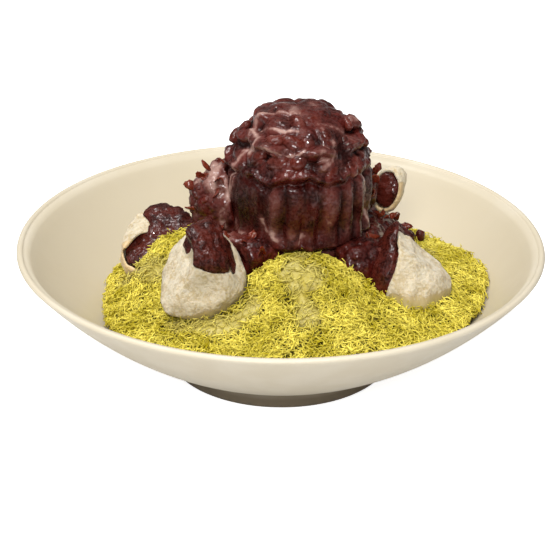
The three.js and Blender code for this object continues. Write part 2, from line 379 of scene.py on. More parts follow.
def addCamera():
    rise = math.radians(camera["elevation"])
    eye = Vector((0, -camera["distance"] * math.cos(rise),
                  camera["pivotHeight"] + camera["distance"] * math.sin(rise)))
    look = Vector(camera["aim"]) - eye
    data = bpy.data.cameras.new("camera")
    data.lens, data.sensor_width = camera["lens"], camera["sensor"]
    data.clip_start, data.clip_end = camera["clip"]
    made = inScene("camera", data)
    made.location = eye * mm
    turn = look.to_track_quat("-Z", "Y") @ Quaternion((0, 0, 1), math.radians(camera["roll"]))
    made.rotation_euler = turn.to_euler()
    bpy.context.scene.camera = made


studio = {"world": 0.26, "worldColour": (1.0, 0.985, 0.965, 1), "floorColour": (0.76, 0.76, 0.76, 1),
          "backdrop": 0.85, "floorHalf": 4000, "floorLevel": -0.1}
# place, aim, width and watts of each soft box, metres
softBoxes = {
    "overhead": ((-0.4, 0.05, 1.25), (0, 0, 0.06), 0.7, 12.2),
    "front": ((-0.12, -1.25, 0.9), (0, 0, 0.06), 0.5, 13),
    "glint": ((0.15, -0.6, 1.2), (0, 0, 0.08), 0.05, 6.5),
}


def addStudio():
    world = bpy.data.worlds.new("studio")
    world.use_nodes = True
    background = world.node_tree.nodes["Background"]
    background.inputs["Color"].default_value = studio["worldColour"]
    background.inputs["Strength"].default_value = studio["world"]
    bpy.context.scene.world = world
    for name, (where, aim, width, watts) in softBoxes.items():
        data = bpy.data.lights.new(name, "AREA")
        data.shape, data.size, data.energy = "DISK", width, watts
        light = inScene(name, data)
        light.location = where
        light.rotation_euler = (Vector(aim) - Vector(where)).to_track_quat("-Z", "Y").to_euler()
    half, low = studio["floorHalf"], studio["floorLevel"]
    corners = np.array([(-half, -half, low), (half, -half, low), (half, half, low), (-half, half, low)])
    mesh = meshOf("floor", corners, np.array([[0, 1, 2, 3]]))
    material, tree, shader = newMaterial("floor", Base_Color=studio["floorColour"], Roughness=0.8)
    field = placed(tree, grainGroup, {"Fine Size": 40.0, "Patch Size": 600.0})
    # seen directly the floor is near white, and it throws less light up at the bowl
    seen = node(tree, "ShaderNodeLightPath", {}).outputs["Is Camera Ray"]
    shader.inputs["Emission Color"].default_value = (1, 1, 1, 1)
    feed(tree, shader, {"Roughness": spread(tree, field["Patches"], 0, 1, 0.75, 0.85),
                        "Emission Strength": times(tree, seen, studio["backdrop"])})
    mesh.materials.append(material)
    floor = inScene("floor", mesh)


addCamera()
addStudio()
bpy.context.scene.view_settings.view_transform = "Standard"
print("camera and studio ready")


bowl = {"radius": 120, "height": 60, "footRadius": 51, "footHeight": 8, "footWidth": 5,
        # the foot's outer side from the floor up: how far past footRadius, and how high
        "footSide": [(-0.4, 0), (0.05, 0.35), (0.45, 2), (0.6, 4), (0.6, 6.3), (0.85, 7.5)],
        "wallStart": 1.5, "recess": 2.6, "recessSlope": 2, "lip": 3.2, "floor": 8, "wallBulge": 5,
        "insidePower": 2.6, "turns": 216, "waver": 0.12, "waverSize": 45,
        # paintedFootShade is the foot ring's colour darkened as painted shade
        "glaze": colour(205, 195, 174), "glazeShade": colour(200, 189, 166), "paintedFootShade": colour(128, 115, 95),
        # paintedInsideShade darkens the inside of the bowl as painted shade
        "paintedInsideShade": colour(191, 179, 154), "speck": colour(176, 156, 122), "specks": 260.0}
insideRadius = bowl["radius"] - bowl["lip"]


def insideHeight(radius):
    rise = np.minimum(radius / insideRadius, 1) ** bowl["insidePower"]
    return bowl["floor"] + (bowl["height"] - bowl["floor"]) * rise


def bowlProfile():
    lipRound = bowl["lip"] / 2
    start = np.array([bowl["footRadius"] + bowl["wallStart"], bowl["footHeight"]])
    end = np.array([bowl["radius"], bowl["height"] - lipRound])
    run = (end - start) / np.linalg.norm(end - start)
    bow = (start + end) / 2 + 2 * bowl["wallBulge"] * np.array([run[1], -run[0]])
    t = np.linspace(0, 1, 40)[:, None]
    wall = (1 - t) ** 2 * start + 2 * t * (1 - t) * bow + t ** 2 * end
    turn = np.linspace(0, np.pi, 13)
    lip = np.stack([bowl["radius"] - lipRound + lipRound * np.cos(turn),
                    bowl["height"] - lipRound + lipRound * np.sin(turn)], axis=1)
    reach = np.linspace(insideRadius - 0.8, 0, 46)
    inside = np.stack([reach, insideHeight(reach)], axis=1)
    inner = bowl["footRadius"] - bowl["footWidth"]
    foot = [(0, bowl["recess"]), (inner - bowl["recessSlope"] - 4, bowl["recess"]),
            (inner - bowl["recessSlope"], bowl["recess"] - 0.15), (inner - 0.35, 0.3), (inner + 0.3, 0)]
    foot += [(bowl["footRadius"] + out, height) for out, height in bowl["footSide"]]
    return np.concatenate([foot, wall[:-1], lip[:-1], inside])


# A closed body turned about +Z from a profile whose two ends lie on the axis.
def turned(name, profile, turns):
    angle = np.arange(turns) * 2 * np.pi / turns
    rings = profile[1:-1]
    x = rings[:, :1] * np.cos(angle)
    y = rings[:, :1] * np.sin(angle)
    z = np.repeat(rings[:, 1:], turns, axis=1)
    points = np.concatenate([np.stack([x, y, z], axis=2).reshape(-1, 3),
                             [(0, 0, profile[0, 1]), (0, 0, profile[-1, 1])]])
    ring, step = np.meshgrid(np.arange(len(rings) - 1), np.arange(turns), indexing="ij")
    after = (step + 1) % turns
    a, b = ring * turns + step, ring * turns + after
    c, d = b + turns, a + turns
    faces = np.concatenate([np.stack(corners, axis=2).reshape(-1, 3) for corners in ((a, b, c), (a, c, d))])
    around = np.arange(turns)
    last = (len(rings) - 1) * turns
    bottom = np.stack([np.full(turns, len(points) - 2), (around + 1) % turns, around], axis=1)
    top = np.stack([np.full(turns, len(points) - 1), last + around, last + (around + 1) % turns], axis=1)
    return meshOf(name, points, np.concatenate([faces, bottom, top]))


def glazeMaterial():
    material, tree, shader = newMaterial("cream glaze", Coat_Weight=0.1, Coat_Roughness=0.3)
    field = placed(tree, grainGroup, {"Fine Size": 0.9, "Patch Size": 26.0})
    tone = mixed(tree, field["Patches"], bowl["glaze"], bowl["glazeShade"])
    place = node(tree, "ShaderNodeTexCoord", {}).outputs["Object"]
    specks = node(tree, "ShaderNodeTexVoronoi", {"Vector": place, "Scale": bowl["specks"]})
    speck = spread(tree, specks.outputs["Distance"], 0.03, 0.08, 0.25, 0.0)
    tone = mixed(tree, speck, tone, bowl["speck"])
    tone = mixed(tree, attribute(tree, "inside"), tone, bowl["paintedInsideShade"])  # the inside of the bowl is painted darker, as shade
    # the foot ring, marked bare, is rougher and painted darker as shade
    bare = attribute(tree, "bare")
    glazed = spread(tree, field["Patches"], 0, 1, 0.4, 0.5)
    feed(tree, shader, {"Base Color": mixed(tree, bare, tone, bowl["paintedFootShade"]),
                        "Roughness": maths(tree, "ADD", glazed, times(tree, bare, 0.45), clamp=True)})
    bumped(tree, shader, field["Grain"], 0.06, 0.03)
    return material


def addBowl():
    mesh = turned("bowl", bowlProfile(), bowl["turns"])
    points = pointsOf(mesh)
    outward = unit(points * (1, 1, 0))
    high = smooth(8, 40, points[:, 2])[:, None]
    waver = rolling(points * (1, 1, 0.5), bowl["waverSize"], 4)[:, None]
    points += outward * high * bowl["waver"] * (waver - 1.1)  # never wider than the solid
    movePoints(mesh, points)
    # the foot ring's mask: rougher, and painted darker as shade
    footEdge = points[:, 2] + 0.25 * rolling(points, 5, 2)
    reach = np.hypot(points[:, 0], points[:, 1])
    paint(mesh, "bare", np.where(reach < 60, 1 - smooth(5.5, 7.5, footEdge), 0))
    # the inside of the bowl, painted darker as shade, unevenly
    above = points[:, 2] > insideHeight(reach) - 0.3
    inside = above * smooth(insideRadius - 0.5, insideRadius - 5, reach)
    paint(mesh, "inside", inside * (0.85 + 0.15 * rolling(points, 30, 6)))
    addPiece("bowl_glazed", mesh, glazeMaterial(), "porcelain", "bowl")


addBowl()
print("bowl ready")


# The cut's centre, where it faces, its long way, and its half sizes along and across. `rough` is how far
# the filling stands up in lumps. `tan` is the stretch of rim, in degrees round the cut, with a bare edge,
# and `over` lists stretches where the filling spills over the rim, with how far.
riceCakes = {
    "left": {"cut": (-55.5, 8, 55.5), "facing": (-0.12, -0.5, 0.86), "along": (0.75, 0.47, 0.46),
             "rim": (19.2, 16.3), "rough": 0.9, "tan": (140, 215), "over": [(282, 385, 2.6)], "sag": 0.9},
    "front": {"cut": (-31, -45, 72), "facing": (0.2, -0.5, 0.84), "along": (1, -0.2, 0),
              "rim": (14.7, 13), "rough": 2.4, "tan": (268, 345), "over": [(188, 272, 3.0)],
              "sag": 3.6},
    "right": {"cut": (47.5, -22, 56), "facing": (-0.92, -0.08, 0.38), "along": (0.38, 0.06, 0.92),
              "rim": (16.6, 14.7), "rough": 0.9, "tan": (175, 250), "over": [(270, 365, 2.4)],
              "sag": 0.9},
    "back": {"cut": (48.5, 24, 74), "facing": (-0.45, -0.85, 0.2), "along": (0.12, 0.05, 1),
             "rim": (11.4, 7.4), "rough": 0.5, "tan": (60, 210), "over": [(215, 385, 2.2)],
             "sag": 0.9},
}
dough = {"voxel": 0.7, "rounding": 8, "wrinkle": 0.55, "wrinkleSize": 7, "clump": 0.16, "clumpSize": 1.5,
         "edgeDepth": 2.8, "white": colour(201, 189, 164), "skin": colour(172, 152, 112),
         "edge": colour(198, 171, 126), "wetSkin": colour(160, 142, 84)}
cakeBean = {"voxel": 0.7, "rounding": 6, "grow": 0.75, "spill": 1.0, "lumpSize": 5.5,
            "dark": colour(28, 7, 5), "light": colour(82, 29, 20)}
# Soft pushes on skin and filling alike: place, how far across they reach, and the push.
cakePushes = {"front": [((-50, -45, 71), 9, (11.5, 0, -2.5)), ((-50, -53, 52), 9, (-4.5, -2, -3)),
                        ((-17, -38, 75), 8, (-6.5, 0.5, 0.5)), ((-33, -57, 66), 7, (0, 1, 3.6)),
                        ((-12, -42, 70), 6, (-11, 1, 0)), ((-32, -62, 61), 5.5, (0, 5, -2.5)),
                        ((-22, -62, 59), 4.5, (0.5, -3.2, 1.5))],
              "right": [((59, -20, 70), 6, (-2.5, 0, -4.5)), ((69, -20, 66), 8, (-2, -1, -5)),
                        ((57, -43, 45), 8, (0, -6, -3.5))]}
skinPushes = {"front": [((-43, -39, 77), 6.5, (1, 0, -4)), ((-16, -39, 74), 6, (-3, 2, -6))]}
fillingPushes = {"left": [((-52, 20, 66), 9, (0, 1, 1.5))],
                 "front": [((-30, -36, 79), 7, (0.5, 0, 3.0))],
                 "right": [((53, -14, 69), 6, (1, 2, 3.5)), ((42, -24, 52), 13, (-4.5, -1, 0))]}
# Dents pushed into the dough: place, radius and depth.
doughDents = {"front": [((-43, -58, 60), 6, 1.0), ((-26, -64, 49), 6, -1.2)],
              "right": [((62, -33, 60), 7, 0.9), ((57, -38, 50), 6, 0.8), ((52, -40, 58), 5, -0.6)],
              "left": [((-72, 2, 50), 5, 0.6)]}
# Smooth places without starch: place and radius.
bareDough = {"left": [((-72, -4, 46), 11)]}
cakeSkins = [f"rice_cake_{name}_skin" for name in riceCakes]
cakeNodes = [f"rice_cake_{name}_{part}" for name in riceCakes for part in ("skin", "filling")]


def softlyPushed(points, pushes):
    for place, reach, by in pushes:
        away = np.linalg.norm(points - place, axis=1) / reach
        points = points + np.exp(-0.5 * away ** 2)[:, None] * np.array(by)
    return points


# 1 inside a stretch of degrees, fading over `soft` at its ends.
def within(degrees, start, end, soft=12):
    middle, half = (start + end) / 2, (end - start) / 2
    away = np.abs((degrees - middle + 180) % 360 - 180)
    return 1 - smooth(half - soft / 2, half + soft / 2, away)


def cakeAxes(cake):
    facing = unit(np.array(cake["facing"], float))
    along = np.array(cake["along"], float)
    along = unit(along - facing * (along @ facing))
    return np.cross(along, facing), along, facing


# The corner of the left cake's skin that folds over its filling.
flap = {"from": 200, "to": 276, "reach": 15, "lift": 3.2, "thick": 1.7, "turns": 28, "steps": 12}


def flapMesh():
    across, along, facing = cakeAxes(riceCakes["left"])
    turns, steps = flap["turns"], flap["steps"]
    turn = np.radians(np.linspace(flap["from"], flap["to"], turns))[:, None]
    inward = np.linspace(0, 1, steps)[None, :]
    spread01 = (turn - turn[0]) / (turn[-1] - turn[0])
    reach = flap["reach"] * (0.15 + 0.9 * spread01) * (1 - 0.35 * smooth(0.9, 1, spread01))
    wide = [half - reach * inward for half in riceCakes["left"]["rim"]]
    ripple = 0.8 * np.sin(9 * spread01 + 4 * inward) * inward
    height = 0.3 + flap["lift"] * np.sin(0.5 * np.pi * np.minimum(1, 0.25 + 1.2 * inward)) + ripple
    x, y = wide[1] * np.sin(turn), wide[0] * np.cos(turn)
    flat = np.array(riceCakes["left"]["cut"]) + x[..., None] * across + y[..., None] * along
    layers = [(flat + (height + drop)[..., None] * facing).reshape(-1, 3) for drop in (0, -flap["thick"])]
    upper, lower, border = sheetFaces(turns, steps)
    border = np.roll(border[::-1], 1)
    after, low = np.roll(border, -1), turns * steps
    side = np.stack([border, after, after + low, border + low], axis=1)
    return meshOf("flap", np.concatenate(layers), np.concatenate([upper, lower, side]))


def doughMaterial():
    material, tree, shader = newMaterial("dusted dough", Subsurface_Weight=0.15, Subsurface_Scale=0.003,
                                         Sheen_Weight=0.15, Sheen_Roughness=0.6)
    shader.inputs["Subsurface Radius"].default_value = (1.0, 0.75, 0.45)
    edge, wet = attribute(tree, "edge"), attribute(tree, "wet")
    bare = maths(tree, "MAXIMUM", edge, wet)
    dust = placed(tree, dustGroup, {"Bare": bare, "Clump Size": 1.4})
    under = mixed(tree, edge, dough["skin"], dough["edge"])
    under = mixed(tree, wet, under, dough["wetSkin"])
    feed(tree, shader, {"Base Color": mixed(tree, dust["Dust"], under, dough["white"]),
                        "Roughness": spread(tree, dust["Dust"], 0, 1, 0.45, 0.92)})
    bumped(tree, shader, dust["Height"], 0.6, 0.4)
    return material


def fillingMaterial():
    material, tree, shader = newMaterial("cake bean", Coat_Roughness=0.06, Specular_IOR_Level=0.12)
    bean = placed(tree, beanGroup, {"Dark": cakeBean["dark"], "Light": cakeBean["light"], "Mash Size": 1.0,
                                    "Patch Size": 5.0, "Wet Roughness": 0.15, "Dry Roughness": 0.5})
    feed(tree, shader, {"Base Color": bean["Color"], "Roughness": bean["Roughness"],
                        "Coat Weight": spread(tree, bean["Height"], 0.5, 0.95, 0.05, 0.8)})
    bumped(tree, shader, bean["Height"], 0.5, 0.3)
    return material


def addRiceCakes():
    doughLook, fillingLook = doughMaterial(), fillingMaterial()
    iceTree = treeOf("ice_heap")
    for index, (name, cake) in enumerate(riceCakes.items()):
        cut = np.array(cake["cut"], float)
        across, along, facing = cakeAxes(cake)

        def rimPlace(points):
            out = points - cut
            a, b = out @ along / cake["rim"][0], out @ across / cake["rim"][1]
            return out @ facing, np.hypot(a, b), np.degrees(np.arctan2(b, a))

        mesh = fineCopy(f"rice_cake_{name}_skin", dough["voxel"], dough["rounding"],
                        flapMesh() if name == "left" else None)
        points, normals = pointsOf(mesh), normalsOf(mesh)
        height, share, turn = rimPlace(points)
        edge = smooth(-dough["edgeDepth"], -1.0, height - 0.35 * rolling(points, 3, 5))
        edge *= within(turn, *cake["tan"])
        outer = smooth(0.5, 1.5, -height)
        bare = edge.copy()
        for place, radius in bareDough.get(name, []):
            away = np.linalg.norm(points - place, axis=1) + 1.5 * rolling(points, 5, 9)
            bare = np.maximum(bare, 0.9 * (1 - smooth(0.6 * radius, radius, away)))
        bump = dough["wrinkle"] * layered(points, dough["wrinkleSize"], 20 + index)
        bump += dough["clump"] * rolling(points, dough["clumpSize"], 30) * (0.3 + 0.7 * outer)
        bump += 0.25 * edge * rolling(points, 2.5, 33)
        for place, radius, deep in doughDents.get(name, []):
            away = np.linalg.norm(points - place, axis=1)
            bump -= deep * np.exp(-(away / radius) ** 2 * 2)
        points += normals * bump[:, None]
        for start, end, _ in cake["over"]:  # the rim gives way where the filling spills
            sag = within(turn, start, end) * smooth(-4, 0, height)
            if name == "left":
                sag *= smooth(0.93, 0.98, share)
            points -= facing * (cake["sag"] * sag)[:, None]
        points = softlyPushed(points, cakePushes.get(name, []) + skinPushes.get(name, []))
        movePoints(mesh, points)
        near = gapTo(iceTree, points, 7)
        paint(mesh, "edge", bare)
        paint(mesh, "wet", (1 - smooth(0.8, 4.5, near + 0.9 * rolling(points, 4, 8))) * outer)
        addPiece(f"rice_cake_{name}_dough", mesh, doughLook, "rice_skin", f"rice_cake_{name}_skin")

        mesh = fineCopy(f"rice_cake_{name}_filling", cakeBean["voxel"], cakeBean["rounding"])
        points, normals = pointsOf(mesh), normalsOf(mesh)
        height, share, turn = rimPlace(points)
        open01 = smooth(0.1, 0.6, normals @ facing)
        lumps = domes(pebbles(points, cakeBean["lumpSize"], 40 + index)[0], 0.85, 0.45)
        crumbs = rolling(points, 2.2, 44) * 0.42 + rolling(points, 1.2, 45) * 0.2
        lift = open01 * (cake["rough"] * (0.7 * lumps + 0.6 * layered(points, 9, 46 + index)) + crumbs)
        if name == "left":  # it sinks under the folded skin
            lift -= 1.6 * open01 * within(turn, flap["from"], flap["to"], 20) * smooth(0.3, 0.6, share)
        spill = np.full(len(points), cakeBean["spill"])
        for start, end, far in cake["over"]:
            spill += (far - cakeBean["spill"]) * within(turn, start, end, 25)
        spill *= smooth(-0.6, 0.4, height) * smooth(0.55, 0.9, share) * (1 + 0.4 * layered(points, 4, 48))
        outward = unit((points - cut) - ((points - cut) @ facing)[:, None] * facing)
        points += normals * (cakeBean["grow"] * (1 - open01) + lift)[:, None] + outward * spill[:, None]
        points = softlyPushed(points, cakePushes.get(name, []) + fillingPushes.get(name, []))
        movePoints(mesh, points)
        addPiece(f"rice_cake_{name}_bean", mesh, fillingLook, "cake_filling", f"rice_cake_{name}_filling")


addRiceCakes()
print("rice cakes ready")


scoop = {
    "centre": (8, 3, 64), "radius": 32.5, "height": 59.5, "solidFlutes": 16, "solidFluteDepth": 1.1,
    "solidLedge": 37, "solidLedgeWidth": 6, "voxel": 0.58, "rounding": 11,
    # where one flute ends and the next starts, in degrees about the scoop; -90 faces the diner
    "valleys": (-178, -121, -102, -85, -74, -54, -37, -20, -2, 17, 36, 53, 72, 90, 108, 127, 146, 163),
    "plainSide": (-168, -124),  # one side is smooth
    "fluteDepth": 3.6, "fluteFoot": 7, "skirt": 32.5, "skirtTop": 15,
    "lumpSize": 10.5, "lumpHeight": 3.0,
}
# Shelves pressed round the scoop: height above its underside, how far they stand out and waver.
shelves = [(35.0, 2.6, 5.4), (45.5, 3.0, 2.8), (53.2, 2.0, 1.7)]
# Streams of condensed milk: (turn, height) along each, width and strength.
milkStreams = [
    ([(-167, 55), (-148, 58.3), (-110, 58.6), (-88, 57.6)], 1.7, 0.85),
    ([(-168, 54), (-156, 50), (-148, 46), (-152, 41), (-156, 34), (-158, 26), (-172, 14)], 2.4, 0.8),
    ([(-160, 51), (-137, 49.5), (-136, 46), (-146, 43)], 2.0, 0.95),
    ([(-147, 52.6), (-115, 53.2), (-92, 53.8)], 1.1, 1.0),
    ([(-154, 42.6), (-140, 46), (-120, 46.5), (-106, 45), (-93, 45.4), (-86, 47.5)], 1.3, 0.9),
    ([(-62, 54), (-55, 49), (-60, 43), (-71, 40.5)], 1.8, 0.75),
    ([(-61, 56), (-44, 54), (-28, 50.5), (-22, 45), (-18, 38), (-22, 33)], 2.0, 0.7),
    ([(-32, 52), (-30, 47), (-32, 41), (-38, 37)], 1.8, 0.7),
    ([(-29, 33), (-24, 25), (-16, 14), (-12, 5)], 1.3, 1.0),
    ([(-46, 35.5), (-35, 31), (-28, 24), (-26, 16)], 1.6, 0.6),
    ([(-161, 33), (-163, 24), (-166, 14), (-168, 6)], 1.0, 1.0),
    ([(-122, 15), (-120, 9)], 2.0, 0.85), ([(-112, 6), (-106, 4)], 1.8, 0.9),
    ([(-92, 2.5), (-85, 5), (-84, 8)], 2.0, 0.8), ([(-69, 18), (-63, 14)], 1.8, 0.7),
    ([(-76, 31), (-72, 28)], 1.6, 0.5), ([(-48, 12), (-44, 5)], 1.8, 0.6),
    ([(10, 55), (30, 50), (38, 40), (36, 26), (40, 12)], 2.0, 0.8),
    ([(95, 56), (80, 49), (86, 38), (92, 24), (88, 10)], 2.2, 0.8),
    ([(140, 55), (150, 46), (140, 36), (146, 22)], 2.0, 0.8),
    ([(60, 52), (110, 50), (130, 47)], 1.5, 0.9), ([(180, 50), (172, 38), (176, 26)], 1.8, 0.7),
]
# Beans that stand well proud of the scoop: turn, height, how far out their middle lies, and size.
proudBeans = [(-121, 56.2, 0.2, 1.25), (-97, 57.2, 0.3, 1.4), (-60, 57.8, -0.8, 1.1), (-12, 52.5, 0.7, 1.1),
              (0, 50.8, 1.9, 1.25), (-10, 44.5, 0.9, 1.0), (178, 44, 1.2, 1.2), (-178, 49, 0.6, 1.1),
              (-58, 52.6, 0.1, 1.1), (-119, 50.4, -0.6, 1.4), (-98, 50.2, -0.8, 1.5),
              (-82, 50.6, -0.6, 1.2), (-132, 43.2, -0.7, 1.4), (-110, 42.4, -0.9, 1.5),
              (-92, 43.4, -0.8, 1.3), (-62, 37.5, -0.5, 1.2),
              (-40, 37.6, 0.2, 1.2), (60, 50, -0.6, 1.1), (120, 50, -0.6, 1.1), (100, 44, 0.4, 1.2),
              (30, 43, 0.6, 1.2), (150, 40, 0.5, 1.2)]
bed = {"voxel": 0.95, "rounding": 4, "lumpSize": 7.8, "lumpHeight": 2.0}
beanLook = {"dark": colour(26, 5, 4), "light": colour(82, 23, 16), "skin": colour(118, 48, 28),
            "wholeDark": colour(40, 10, 7), "wholeLight": colour(92, 33, 23), "skinDark": colour(74, 24, 16),
            # hollow is the near black painted into hollows and flute valleys as shade
            "hollow": colour(20, 3, 2), "milk": colour(190, 158, 146), "milkThin": colour(110, 61, 54)}


# A point on the scoop's nominal side for a turn in degrees and a height above its underside.
def onScoop(turn, height):
    waist = 0.4 * scoop["height"]
    share = np.clip((height - waist) / (scoop["height"] - waist), 0, 1)
    reach = scoop["radius"] * max(0.02, math.cos(math.asin(share))) ** 0.8
    angle = math.radians(turn)
    return np.array(scoop["centre"]) + (reach * math.cos(angle), reach * math.sin(angle), height)


def beanMaterial(name, dark, light, milky, **plain):
    material, tree, shader = newMaterial(name, Coat_Roughness=0.05, Specular_IOR_Level=0.12, **plain)
    bean = placed(tree, beanGroup, {"Dark": dark, "Light": light, "Mash Size": 1.3, "Patch Size": 7.5,
                                    "Wet Roughness": 0.2, "Dry Roughness": 0.42})
    tone = bean["Color"]
    if milky:
        milk = placed(tree, milkGroup, {"Amount": attribute(tree, "milk"), "Streak Size": 2.2})
        hollow = attribute(tree, "hollow")
        # on the scoop the milk colours also carry painted highlight on crests
        tone = mixed(tree, times(tree, milk["Cover"], 0.8), tone, beanLook["milkThin"])
        tone = mixed(tree, times(tree, milk["Thick"], 0.9), tone, beanLook["milk"])
        # hollows and the flutes' valleys are painted near black, as shade
        tone = mixed(tree, times(tree, hollow, 0.9), tone, beanLook["hollow"])
    glossy = spread(tree, bean["Height"], 0.4, 0.9, 0.1, 0.85)
    if milky:
        glossy = times(tree, glossy, minus(tree, 1.0, hollow))
    feed(tree, shader, {"Base Color": tone, "Roughness": bean["Roughness"], "Coat Weight": glossy})
    bumped(tree, shader, bean["Height"], 0.5, 0.28)
    return material


def fluteShape(turn):
    edges = np.array(scoop["valleys"] + (scoop["valleys"][0] + 360,), float)
    turn = (turn - edges[0]) % 360 + edges[0]
    which = np.clip(np.searchsorted(edges, turn, side="right") - 1, 0, len(edges) - 2)
    across = (turn - edges[which]) / (edges[which + 1] - edges[which])
    return np.clip(1 - (2 * across - 1) ** 2, 0, 1)


def addScoop(material):
    mesh = fineCopy("bean_scoop", scoop["voxel"], scoop["rounding"])
    points, normals = pointsOf(mesh), normalsOf(mesh)
    local = points - scoop["centre"]
    height, reach = local[:, 2], np.hypot(local[:, 0], local[:, 1])
    turn = np.degrees(np.arctan2(local[:, 1], local[:, 0]))
    shelf = scoop["solidLedge"], scoop["solidLedgeWidth"] / 2
    below = 1 - smooth(shelf[0] - shelf[1], shelf[0] + shelf[1], height)
    wide = np.minimum(1, reach / scoop["radius"])
    push = -scoop["solidFluteDepth"] * np.cos(scoop["solidFlutes"] * np.radians(turn)) * wide * below
    # flutes that end in rounded feet, and a plain side
    plain = within(turn, *scoop["plainSide"], 30)
    shape = fluteShape(turn + 2.5 * rolling(points, 11, 3))
    firstShelf = shelves[0][0] + 1.2 * layered(points, 14, 7)
    fluted = (1 - smooth(firstShelf - 2, firstShelf + 1, height)) * wide
    foot = smooth(-2, scoop["fluteFoot"], height)
    deep = scoop["fluteDepth"] * (1 - 0.6 * smooth(14, 32, height)) * (0.85 + 0.3 * rolling(points, 16, 8))
    deep *= 1 - 0.85 * plain
    push += fluted * deep * (shape * foot - 0.75)
    # shelves, with a recess under each
    around = points * (1, 1, 0.35)
    for index, (level, out, waver) in enumerate(shelves):
        edge = level + waver * layered(around, 13, 50 + 3 * index)
        rise = height - edge
        strength = out * np.clip(0.55 + 0.7 * rolling(around, 11, 60 + index), 0.1, 1.2)
        push += strength * (np.exp(-((rise - 1.6) / 1.9) ** 2) - 0.9 * np.exp(-((rise + 1.6) / 1.5) ** 2))
    # mash and half-sunk beans above the first shelf
    above = smooth(firstShelf - 1.5, firstShelf + 2, height)
    near, following = pebbles(local * (1, 1, 1.3) + 3, scoop["lumpSize"], 11)
    lumps = domes(near, 0.8, 0.5)
    creases = smooth(0.0, 0.22, following - near)
    push += above * (scoop["lumpHeight"] * 0.55 * lumps + 0.5 * (creases - 1))
    granular = above * (0.3 + 0.7 * smooth(0.1, 0.6, rolling(points, 8, 71)))
    shelfGrain = np.exp(-((height - firstShelf - 1) / 3.2) ** 2) * smooth(-0.5, 0.3, rolling(points, 12, 74))
    push += (0.34 * granular + 0.6 * shelfGrain) * rolling(points, 1.9, 72)
    push += (0.2 * granular + 0.36 * shelfGrain) * rolling(points, 1.1, 73)
    push += 0.35 * layered(points, 7, 75) * (1 - above) + 0.06 * rolling(points, 1.6, 76)
    # milk runs down and settles in the creases, and crests are painted pale with the milk colours as painted
    # highlight
    nominal = treeOf("bean_scoop")
    milk = np.zeros(len(points))
    for line, width, strength in milkStreams:
        line = snap(nominal, [onScoop(*p) for p in line])
        away = np.maximum(0, fromLine(points, line) + 0.9 * layered(points, 4.5, 80)) / width
        stream = 0.3 * np.exp(-(away / 0.5) ** 2) + 0.62 * np.exp(-(away / 1.9) ** 2)
        milk = np.maximum(milk, strength * stream)
    filmAndHighlight = (0.3 + 0.16 * above) * smooth(-0.1, 0.6, layered(points * (1, 1, 0.55), 9, 85))
    filmAndHighlight += 0.28 * smooth(48, 57, height) * smooth(-0.8, 0.4, rolling(points, 7, 84))
    filmAndHighlight *= 1 - 0.9 * within(turn, -165, -126, 20) * (1 - above)
    # raised places above the first shelf are painted paler with the milk colours, as painted highlight
    filmAndHighlight += 0.2 * smooth(0.9, 2.4, push) * above
    # painted shade: hollows above the first shelf, the flutes' valleys, the plain side low down, and dark
    # patches at random over the flutes
    hollow = smooth(0.3, -1.2, push) * above
    valley = smooth(0.75, 0.0, shape) * fluted * foot * (1 - plain)
    valley *= smooth(-0.7, 0.3, layered(points * (1, 1, 0.3), 12, 90))
    hollow = np.maximum(hollow, valley)
    hollow = np.maximum(hollow, 0.65 * plain * fluted * smooth(4, 12, height))
    hollow = np.maximum(hollow, 0.5 * fluted * smooth(-0.5, 0.4, layered(points * (1, 1, 0.6), 10, 92)))
    # the flutes' crests are painted paler with the milk colours, as painted highlight
    filmAndHighlight = np.maximum(filmAndHighlight, 0.55 * fluted * shape * smooth(0.1, 0.7, rolling(points * (1, 1, 0.5), 8, 93)))
    crevice = 0.5 * hollow * smooth(0.1, 0.6, layered(points, 12, 89))
    # the flutes' crests near their feet are painted pale with the milk colours, as painted highlight
    ends = 0.95 * shape ** 2 * np.exp(-((height - 7) / 6) ** 2)
    ends = ends * smooth(-0.3, 0.5, rolling(points, 9, 88)) * fluted
    filmAndHighlight = np.maximum(filmAndHighlight, ends)
    milk = np.clip(np.maximum(milk, filmAndHighlight + crevice), 0, 1)
    push += 0.25 * smooth(0.35, 0.9, milk)
    points += normals * push[:, None]
    low = 1 - smooth(2, scoop["skirtTop"], height)  # pressed out where it sits on the bed
    outward = unit(local * (1, 1, 0))
    points += outward * (low * np.clip(scoop["skirt"] - reach, 0, 7) * smooth(12, 22, reach))[:, None]
    points[:, 2] = np.minimum(points[:, 2], ceiling - 0.4 * (ceiling - points[:, 2] < 0))
    movePoints(mesh, points)
    # the milk mask holds the milk and the painted highlight on the crests
    paint(mesh, "milk", milk)
    paint(mesh, "hollow", hollow * (1 - smooth(0.3, 0.7, milk)))
    addPiece("bean_scoop_mash", mesh, material, "red_bean", "bean_scoop")
    return mesh


